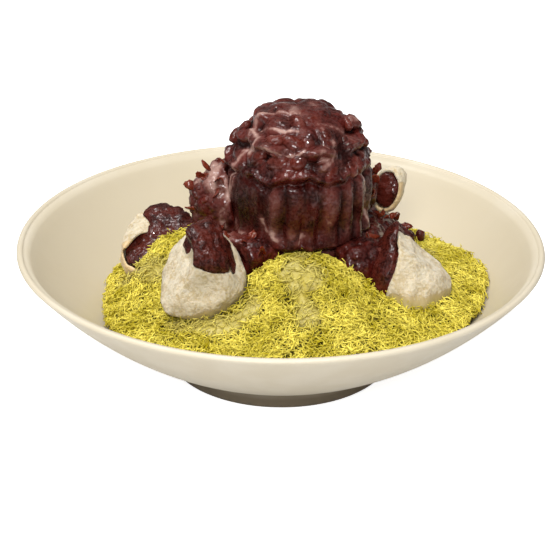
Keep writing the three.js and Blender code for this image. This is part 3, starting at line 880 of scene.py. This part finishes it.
def addBed(material):
    mesh = fineCopy("bean_bed", bed["voxel"], bed["rounding"])
    points, normals = pointsOf(mesh), normalsOf(mesh)
    open01 = smooth(0.2, 1.6, gapTo(treeOf("bean_scoop", "ice_heap"), points, 2))
    near, following = pebbles(points, bed["lumpSize"], 21)
    lumps = domes(near, 0.8, 0.5)
    creases = smooth(0.0, 0.25, following - near)
    push = bed["lumpHeight"] * 0.6 * lumps + 0.6 * (creases - 1) + 0.5 * layered(points, 9, 22)
    push += 0.45 * rolling(points, 2.2, 23) + 0.24 * rolling(points, 1.2, 24)
    side = smooth(-10, -30, points[:, 0])
    push += 1.6 * side * rolling(points * (1, 1, 0.3), 6, 27)  # folds that hang down on the left
    streaks = layered(points * (1, 1, 0.35), 8, 25)
    milk = (0.6 + 0.4 * side) * smooth(-0.3 * side, 0.6, streaks)
    milk = milk * (0.55 + 0.45 * smooth(1.6, -0.6, push))
    milk = np.maximum(milk, (0.25 + 0.6 * side) * smooth(-0.3, 0.5, layered(points * (1, 1, 0.5), 12, 26)))
    # the bed's hollows are painted darker, as shade
    paint(mesh, "hollow", smooth(-0.3, -1.8, push) * open01 * (1 - smooth(0.2, 0.6, milk)))
    points += normals * (push * open01)[:, None]
    points[:, 2] -= 6 * smooth(43, 55, points[:, 0]) * smooth(48, 54, points[:, 2])
    movePoints(mesh, points)
    paint(mesh, "milk", milk)
    addPiece("bean_bed_mash", mesh, material, "red_bean", "bean_bed")
    return mesh


wholeBeans = {"half": (3.8, 2.8, 2.3), "onScoop": 10, "onBed": 52, "sunk": (1.2, 2.6), "seam": 0.35,
              "crumple": 0.8, "crumpleFine": 0.2}


# The ball that every bean is shaped from.
def beanShape():
    made = bmesh.new()
    bmesh.ops.create_icosphere(made, subdivisions=2, radius=1)
    points = np.array([v.co[:] for v in made.verts])
    faces = np.array([[v.index for v in f.verts] for f in made.faces])
    made.free()
    return points, faces


def turnsOf(draws, count):
    quaternions = unit(draws.normal(size=(count, 4)))
    w, x, y, z = quaternions.T
    return np.stack([
        np.stack([1 - 2 * (y * y + z * z), 2 * (x * y - z * w), 2 * (x * z + y * w)], axis=1),
        np.stack([2 * (x * y + z * w), 1 - 2 * (x * x + z * z), 2 * (y * z - x * w)], axis=1),
        np.stack([2 * (x * z - y * w), 2 * (y * z + x * w), 1 - 2 * (x * x + y * y)], axis=1)], axis=1)


def openSpots(mesh, blocked, lowest, clearance):
    points, normals = pointsOf(mesh), normalsOf(mesh)
    keep = np.flatnonzero((normals[:, 2] > lowest) & (points[:, 2] > 40))
    free = gapTo(blocked, points[keep] + 1.5 * normals[keep], clearance + 1) > clearance
    return points[keep[free]], normals[keep[free]]


# Boiled beans: ovals with a seam along one side and a slightly crumpled skin.
def addWholeBeans(scoopMesh, bedMesh, blocked, material):
    draws = np.random.default_rng(12)
    template, faces = beanShape()
    tree = treeOf("bean_scoop")
    spots, outs, sizes = [], [], []
    for turn, height, proud, size in proudBeans:
        spot, normal = tree.find_nearest(Vector(onScoop(turn, height)))[:2]
        spots.append(np.array(spot) + (proud - 0.7) * np.array(normal))
        outs.append(normal[:])
        sizes.append(size)
    points, normals = openSpots(scoopMesh, treeOf(*cakeNodes), -0.2, 2)
    level = points[:, 2] - scoop["centre"][2]
    high = (level > shelves[0][0] + 2) & (level < scoop["height"] - 5)
    picked = draws.choice(np.flatnonzero(high), wholeBeans["onScoop"], replace=False)
    sunk = draws.uniform(*wholeBeans["sunk"], len(picked))[:, None]
    spots += list(points[picked] - normals[picked] * (sunk + 0.9))
    outs += list(normals[picked])
    sizes += list(draws.uniform(0.8, 1.1, len(picked)))
    points, normals = openSpots(bedMesh, blocked, -0.3, 1.5)
    picked = draws.choice(len(points), wholeBeans["onBed"], replace=False)
    sunk = draws.uniform(*wholeBeans["sunk"], len(picked))[:, None]
    spots += list(points[picked] - normals[picked] * (sunk + 0.2))
    outs += list(normals[picked])
    sizes += list(draws.uniform(0.75, 1.1, len(picked)))
    spots, outs, sizes = np.array(spots), unit(np.array(outs)), np.array(sizes)
    count = len(spots)
    made = np.repeat(template[None], count, axis=0) * wholeBeans["half"]
    made[:, :, 2] -= wholeBeans["seam"] * np.exp(-(made[:, :, 0] / 2.2) ** 2 - (made[:, :, 2] - 2.4) ** 2)
    flat = made.reshape(-1, 3)
    bean = np.repeat(np.arange(count), len(template))
    crumple = wholeBeans["crumple"] * rolling(flat + bean[:, None] * 7.7, 2.8, 5)
    crumple += wholeBeans["crumpleFine"] * rolling(flat + bean[:, None] * 3.1, 1.3, 6)
    flat = flat + unit(flat) * crumple[:, None]
    made = flat.reshape(count, -1, 3) * sizes[:, None, None]
    # each lies with its long side along the surface
    spin = unit(np.cross(outs, draws.normal(size=(count, 3))))
    other = np.cross(outs, spin)
    axes = np.stack([spin, other, outs], axis=2)
    tilt = turnsOf(draws, count)
    tilt = np.where((draws.uniform(size=count) < 0.2)[:, None, None], tilt, np.eye(3))
    made = np.einsum("nij,nkj->nki", axes @ tilt, made) + spots[:, None]
    made = made.reshape(-1, 3)
    made[:, 2] = np.minimum(made[:, 2], ceiling)
    mesh = meshOf("whole_beans", made, repeatedFaces(faces, count, len(template)))
    paint(mesh, "milk", 0.6 * smooth(-0.2, 0.7, layered(made, 6, 91)) + 0.1)
    addPiece("whole_beans", mesh, material, "red_bean")


skins = {"count": 34, "long": (3.5, 6.5), "wide": (2.6, 4.6), "thick": 0.35, "rows": 7, "columns": 5,
         "jag": 0.35, "curl": (0.4, 1.6), "bend": 0.5, "crumple": 0.18}
# Skins that stand out round the shoulders: place and direction.
proudSkins = [((-41, 2, 83), (-0.9, -0.2, 0.35)), ((-38, 3, 78), (-0.85, -0.3, -0.1)),
              ((-36, 4, 90), (-0.7, 0, 0.7)), ((-33, 5, 93), (-0.5, -0.1, 0.8)),
              ((-39, 0, 74), (-0.9, -0.3, -0.3)), ((42, 8, 86), (0.4, -0.3, 0.85)),
              ((42, 6, 80), (0.3, -0.6, 0.7)), ((43, 10, 90), (0.5, -0.1, 0.85)),
              ((48, 16, 64), (0.6, -0.6, 0.5)), ((52, 20, 64), (0.8, -0.5, 0.3)),
              ((46, 12, 66), (0.6, -0.6, 0.5)), ((-9, -30, 67), (0.3, -0.8, 0.4)),
              ((-16, -26, 70), (0.2, -0.7, 0.7))]


# Torn skins: small curled leaves with a ragged outline.
def addSkins(bedMesh, blocked, material):
    draws = np.random.default_rng(31)
    points, normals = openSpots(bedMesh, blocked, -0.4, 1.2)
    picked = draws.choice(len(points), skins["count"], replace=False)
    spots = np.concatenate([[p for p, _ in proudSkins], points[picked]])
    outs = np.concatenate([[d for _, d in proudSkins],
                           unit(normals[picked] + draws.normal(0, 0.5, (len(picked), 3)))])
    outs = unit(outs)
    count, rows, columns = len(spots), skins["rows"], skins["columns"]
    u = np.linspace(0, 1, rows)[None, :, None]
    v = np.linspace(-1, 1, columns)[None, None, :]
    long = draws.uniform(*skins["long"], count)[:, None, None]
    wide = draws.uniform(*skins["wide"], count)[:, None, None] * (np.sin(np.pi * (0.12 + 0.8 * u)) ** 0.7)
    jag = 1 + skins["jag"] * draws.uniform(-1, 1, (count, rows, 1))
    curl = draws.uniform(*skins["curl"], count)[:, None, None]
    bend = draws.normal(0, skins["bend"], count)[:, None, None]
    side = unit(np.cross(outs, draws.normal(size=(count, 3))))
    back = np.cross(outs, side)
    x = v * wide / 2 * jag
    y = (u - 0.35) * long
    z = curl * (v * wide / 2) ** 2 / 2 + bend * (u - 0.3) ** 2 * long
    sheet = (x[..., None] * side[:, None, None] + y[..., None] * outs[:, None, None]
             + z[..., None] * back[:, None, None] + spots[:, None, None])
    lower = sheet - skins["thick"] * back[:, None, None]
    size = rows * columns
    both = np.concatenate([sheet.reshape(count, -1, 3), lower.reshape(count, -1, 3)], axis=1)
    upper, under, border = sheetFaces(rows, columns)
    after = np.roll(border, -1)
    rim = np.stack([border, border + size, after + size, after], axis=1)
    faces = repeatedFaces(np.concatenate([upper, under, rim]), count, 2 * size)
    made = both.reshape(-1, 3)
    made += skins["crumple"] * np.stack([rolling(made, 1.8, 95 + k) for k in range(3)], axis=1)
    mesh = meshOf("bean_skins", made, faces)
    addPiece("bean_skins", mesh, material, "red_bean")


mashMaterial = beanMaterial("bean mash", beanLook["dark"], beanLook["light"], True)
wholeMaterial = beanMaterial("whole bean", beanLook["wholeDark"], beanLook["wholeLight"], True)
skinMaterial = beanMaterial("bean skin", beanLook["skinDark"], beanLook["skin"], False,
                            Subsurface_Weight=0.15, Subsurface_Scale=0.002)
scoopMesh = addScoop(mashMaterial)
bedMesh = addBed(mashMaterial)
blocked = treeOf("bean_scoop", "ice_heap", *cakeSkins)
addWholeBeans(scoopMesh, bedMesh, blocked, wholeMaterial)
addSkins(bedMesh, blocked, skinMaterial)
print("red bean ready")


ice = {"voxel": 1.4, "rounding": 5, "sink": 1.1, "coreSink": 0.7, "pitSize": 5.5, "pitDepth": 2.0,
       # deep and core colour the heap under the threads dark, as painted shade between the threads
       "clump": 1.1, "clumpSize": 6.5, "fine": 0.35, "fineSize": 2, "wetPatch": colour(168, 152, 62),
       "deep": colour(34, 30, 0), "core": colour(94, 82, 0), "bright": colour(246, 230, 104),
       "dull": colour(162, 145, 0), "wetTone": colour(186, 173, 102)}
# Each kind of thread: how many, length, thickness, and how far its middle may lie above the core.
threads = {
    "ice_threads_long": {"count": 6400, "steps": 4, "long": (5, 8.5), "thick": (0.45, 0.66),
                         "height": (-0.3, 1.5), "tilt": 0.2, "seed": 3},
    "ice_threads_middling": {"count": 8800, "steps": 3, "long": (3.2, 5.5), "thick": (0.45, 0.68),
                             "height": (-0.3, 1.5), "tilt": 0.28, "seed": 4},
    "ice_threads_short": {"count": 8200, "steps": 3, "long": (2, 4), "thick": (0.5, 0.8),
                          "height": (-0.1, 1.7), "tilt": 0.4, "seed": 6},
    "ice_threads_loose": {"count": 2200, "steps": 4, "long": (3, 6.5), "thick": (0.45, 0.65),
                          "height": (0.9, 2.2), "tilt": 0.55, "seed": 5},
}
# How far threads sway, arch and curl, as shares of their length.
threadBend = {"sway": 0.17, "arch": 0.1, "curl": 0.1, "lean": 0.12, "stray": 0.6, "taper": 0.35}
# Where milk has soaked the ice: a line and its half width.
wetLines = [([(8, -33, 67), (5, -45, 64), (9, -55, 60), (12, -64, 53)], 6.0),
            ([(14, -40, 66), (15, -52, 61)], 5.0),
            ([(-52, -48, 50), (-44, -57, 46), (-32, -62, 44), (-20, -61, 46), (-11, -52, 52)], 6.0),
            ([(-72, -4, 42), (-64, -12, 49), (-54, -22, 54)], 7.0), ([(-12, -36, 66), (-2, -34, 66)], 4.0),
            ([(30, 52, 48), (22, 60, 45), (26, 70, 40)], 7.0), ([(-30, 46, 52), (-40, 54, 46)], 7.0),
            ([(62, 10, 50), (70, 2, 46)], 6.0)]


def threadMesh(name, look, points, normals, wet, pits):
    draws = np.random.default_rng(look["seed"])
    picked = draws.choice(len(points), look["count"])
    dropped = draws.uniform(size=len(picked)) < np.maximum(0.8 * wet, 0.75 * pits)[picked]
    picked = picked[~dropped]
    count, steps = len(picked), look["steps"]
    out = unit(normals[picked] + draws.normal(0, threadBend["lean"], (count, 3)))
    spot = points[picked] + draws.uniform(-threadBend["stray"], threadBend["stray"], (count, 3))
    side = unit(np.cross(out, draws.normal(size=(count, 3))))
    tilt = draws.normal(0, look["tilt"], count)[:, None]
    along = unit(np.cos(tilt) * side + np.sin(tilt) * out)
    across = unit(np.cross(along, out))
    up = np.cross(across, along)
    long = draws.uniform(*look["long"], count)
    middle = spot + out * draws.uniform(*look["height"], count)[:, None]
    sway, arch, curl = (draws.normal(0, threadBend[way], count) * long for way in ("sway", "arch", "curl"))
    share = np.linspace(-1, 1, steps + 1)
    t = share[None, :, None]
    bent = sway[:, None, None] * (1 - t * t) + curl[:, None, None] * (t ** 3 - t) * 1.6
    line = (middle[:, None] + along[:, None] * (t * long[:, None, None] / 2)
            + across[:, None] * bent + up[:, None] * (arch[:, None, None] * (1 - t * t)))
    half = draws.uniform(*look["thick"], count)[:, None] / 2 * (1 - threadBend["taper"] * np.abs(share) ** 3)
    half = half * (1 + 0.15 * draws.normal(size=(count, steps + 1)))
    roll = draws.uniform(0, 2 * np.pi, count)[:, None]
    rings = []
    for corner in range(3):
        angle = roll + corner * 2 * np.pi / 3
        way = np.cos(angle)[..., None] * across[:, None] + np.sin(angle)[..., None] * up[:, None]
        rings.append(line + half[..., None] * way)
    made = np.stack(rings, axis=2).reshape(-1, 3)
    radius = np.hypot(made[:, 0], made[:, 1])
    made[:, 2] = np.maximum(made[:, 2], insideHeight(radius) + 0.12)
    faces = []
    for step in range(steps):
        for corner in range(3):
            a, b = step * 3 + corner, step * 3 + (corner + 1) % 3
            faces += [(a, b, b + 3), (a, b + 3, a + 3)]
    faces += [(0, 2, 1), (steps * 3, steps * 3 + 1, steps * 3 + 2)]
    each = 3 * (steps + 1)
    mesh = meshOf(name, made, repeatedFaces(np.array(faces), count, each))
    paint(mesh, "tone", np.repeat(draws.uniform(0, 1, count), each))
    paint(mesh, "wet", np.repeat(wet[picked], each))
    return mesh


def threadMaterial():
    material, tree, shader = newMaterial("ice threads", Specular_IOR_Level=0.12)
    field = placed(tree, grainGroup, {"Fine Size": 1.4, "Patch Size": 14.0})
    share = plus(tree, times(tree, attribute(tree, "tone"), 0.55), times(tree, field["Patches"], 0.45))
    tone = mixed(tree, share, ice["dull"], ice["bright"])
    milk = placed(tree, milkGroup, {"Amount": attribute(tree, "wet"), "Streak Size": 3.0})
    feed(tree, shader, {"Base Color": mixed(tree, times(tree, milk["Cover"], 0.6), tone, ice["wetTone"]),
                        "Roughness": spread(tree, field["Grain"], 0, 1, 0.38, 0.62)})
    bumped(tree, shader, field["Grain"], 0.3, 0.08)
    return material


def paintedShadeCoreMaterial():
    material, tree, shader = newMaterial("ice core", Specular_IOR_Level=0.25)
    field = placed(tree, grainGroup, {"Fine Size": 1.2, "Patch Size": 9.0})
    # the heap under the threads is painted dark, as the shade between them; milk-soaked places keep their
    # wet colour
    tone = mixed(tree, field["Grain"], ice["deep"], ice["core"])
    milk = placed(tree, milkGroup, {"Amount": attribute(tree, "wet"), "Streak Size": 3.5})
    wetTone = mixed(tree, field["Patches"], ice["wetTone"], ice["wetPatch"])
    feed(tree, shader, {"Base Color": mixed(tree, milk["Cover"], tone, wetTone),
                        "Roughness": spread(tree, milk["Cover"], 0, 1, 0.7, 0.35)})
    bumped(tree, shader, field["Grain"], 0.5, 0.3)
    return material


def addIce():
    mesh = fineCopy("ice_heap", ice["voxel"], ice["rounding"])
    points, normals = pointsOf(mesh), normalsOf(mesh)
    others = treeOf("bean_bed", "bean_scoop", *cakeNodes)
    offset = gapTo(others, points, 3)
    radius = np.hypot(points[:, 0], points[:, 1])
    clear = points[:, 2] - insideHeight(radius)
    open01 = smooth(0.9, 2.2, offset) * smooth(0.6, 1.6, clear) * smooth(-0.3, 0.1, normals[:, 2])
    wet = np.zeros(len(points))
    for line, width in wetLines:
        away = fromLine(points, line) + 3.2 * layered(points, 8, 51)
        wet = np.maximum(wet, 1 - smooth(0.3 * width, 1.25 * width, away))
    wet *= smooth(0.5, 1.5, clear)
    pits = smooth(0.15, 0.6, layered(points, ice["pitSize"], 47)) * (1 - wet)
    clumps = layered(points, ice["clumpSize"], 41)
    push = -ice["sink"] - ice["coreSink"] - ice["pitDepth"] * pits + ice["clump"] * clumps
    push += ice["fine"] * rolling(points, ice["fineSize"], 44)
    push = push * (1 - wet) + wet * (0.35 + 0.7 * layered(points, 5, 45))
    movePoints(mesh, points + normals * (push * open01)[:, None])
    paint(mesh, "wet", wet)
    addPiece("ice_core", mesh, paintedShadeCoreMaterial(), "shaved_ice", "ice_heap")
    keep = (normals[:, 2] > 0.02) & (offset > 1.1) & (clear > 1.0)
    rise = (1 - wet) * (-ice["sink"] + 0.7 * ice["clump"] * clumps) + wet * 0.2
    spots = points + normals * (open01 * rise)[:, None]
    material = threadMaterial()
    for name, look in threads.items():
        made = threadMesh(name, look, spots[keep], normals[keep], wet[keep], pits[keep])
        addPiece(name, made, material, "shaved_ice")


addIce()
print("shaved ice ready")
